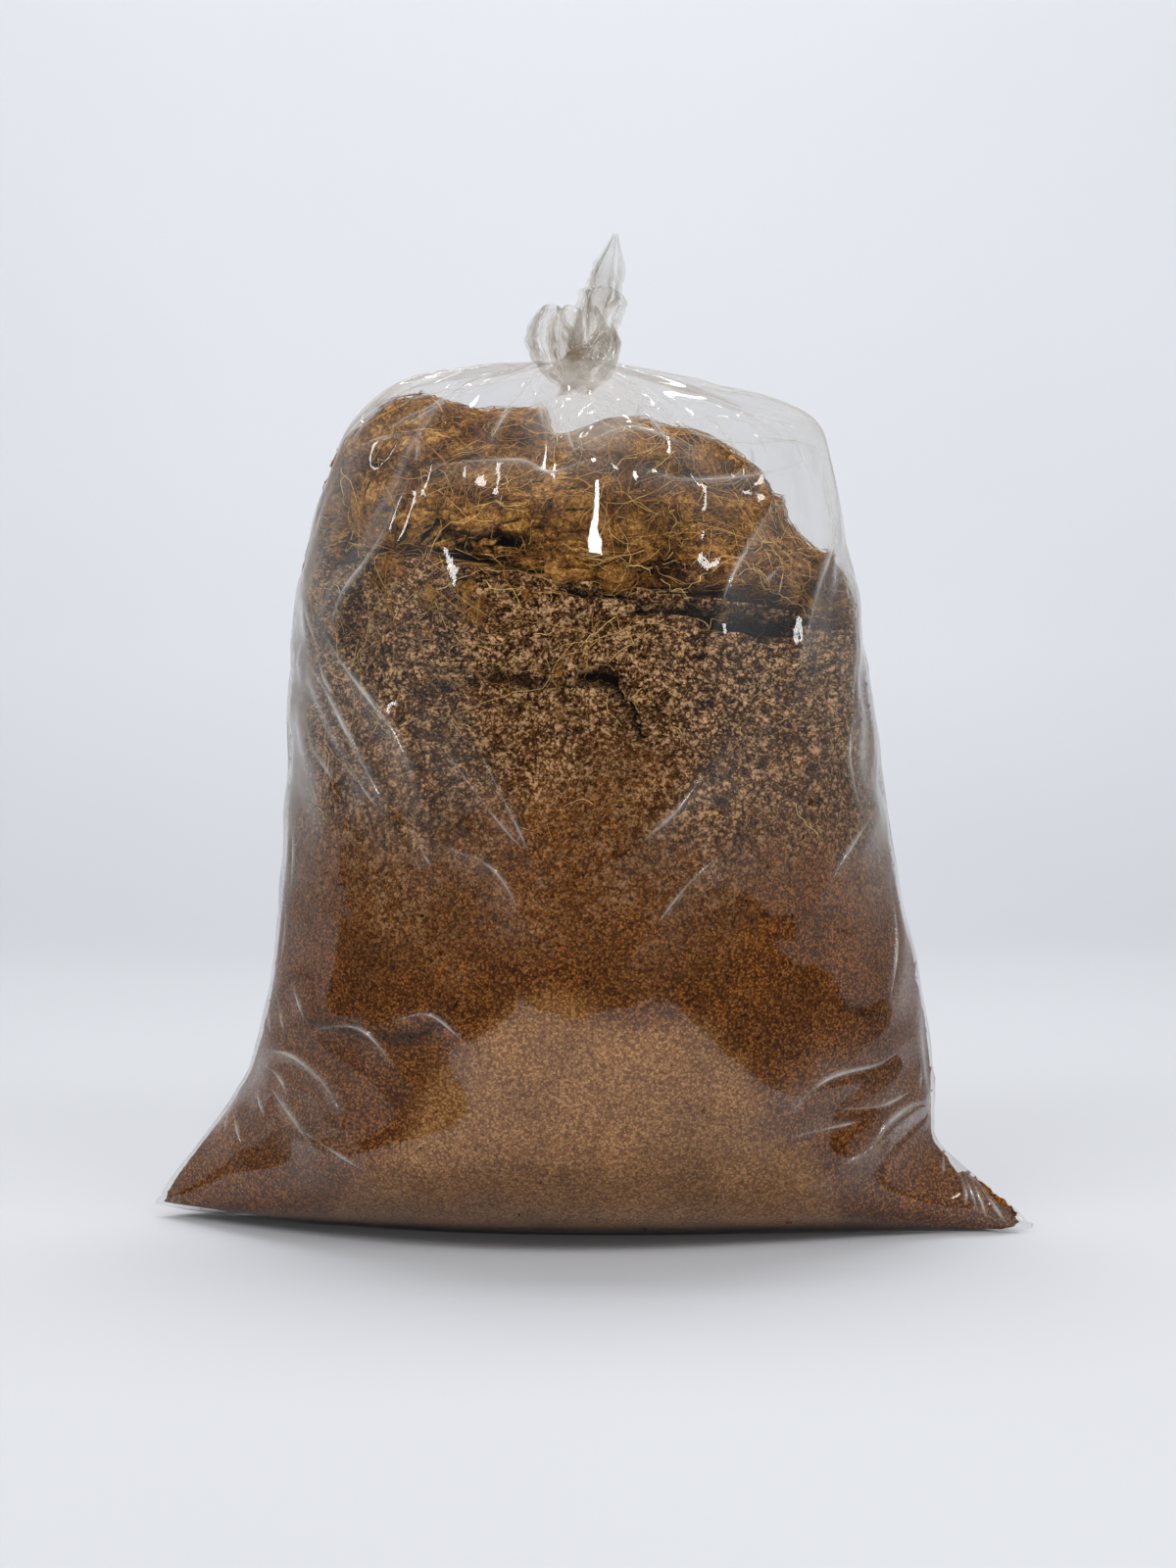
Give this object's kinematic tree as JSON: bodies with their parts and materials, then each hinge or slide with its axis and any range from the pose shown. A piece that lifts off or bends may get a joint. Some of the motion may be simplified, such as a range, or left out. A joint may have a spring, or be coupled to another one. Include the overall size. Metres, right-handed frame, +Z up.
{
  "type": "knotted bag of coir compost",
  "caption": "Clear film bag filled with brown coir compost, standing on its base with two pointed bottom corners and a knotted neck.",
  "frame": {"origin": "on the floor, under the middle of the bag's overall box", "axes": "+Z up from the base to the knot, the bag's front faces -Y, +X to the right seen from the front"},
  "size_m": [0.295, 0.162, 0.3274],
  "materials": {
    "clear_film": "clear glossy film, creased",
    "coir_peat": "loose, fine and granular, matt",
    "coir_fibre": "matted fibre lumps, matt"
  },
  "bodies": {
    "root": {"film_bag": "clear_film", "peat_fill": "coir_peat", "coir_lump_left": "coir_fibre", "coir_lump_right": "coir_fibre"}
  },
  "joints": []
}
